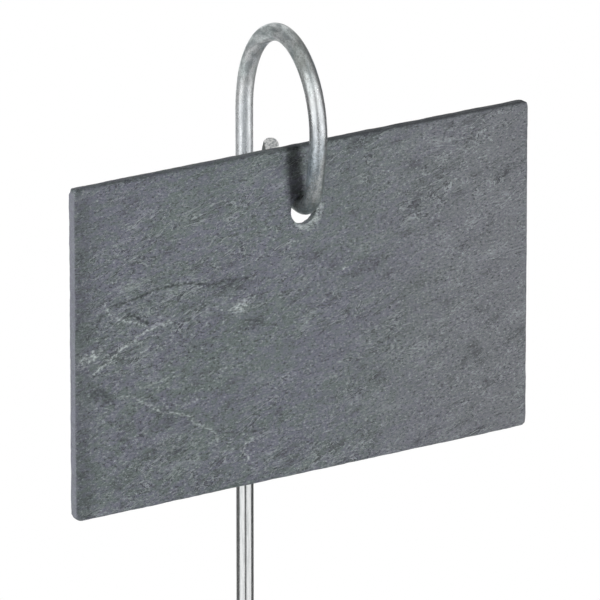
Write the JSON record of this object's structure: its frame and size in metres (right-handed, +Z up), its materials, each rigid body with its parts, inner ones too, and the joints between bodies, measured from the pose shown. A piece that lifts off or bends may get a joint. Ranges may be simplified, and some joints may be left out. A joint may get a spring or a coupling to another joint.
{
  "type": "plant label stake",
  "caption": "Slate plant label that hangs by a drilled hole on the hook of a bent galvanised wire stake, which is pushed into the soil.",
  "frame": {"origin": "on the stem's axis, level with the stake's lower tip", "axes": "+Z up along the stem, -Y out of the slate's front face, +X along the slate's width"},
  "size_m": [0.15, 0.0544, 0.451],
  "materials": {
    "galvanised_wire": "dull galvanised, lightly mottled",
    "slate": "matt riven slate"
  },
  "bodies": {
    "stake": {"wire_stake": "galvanised_wire"},
    "slate": {"slate_plate": "slate"}
  },
  "joints": [
    {"name": "slate_swing", "type": "hinge", "parent": "stake", "child": "slate", "pos_m": [-0.00608, -0.03837, 0.40156], "axis": [0, 1, 0], "range_deg": [-58, 58]}
  ]
}
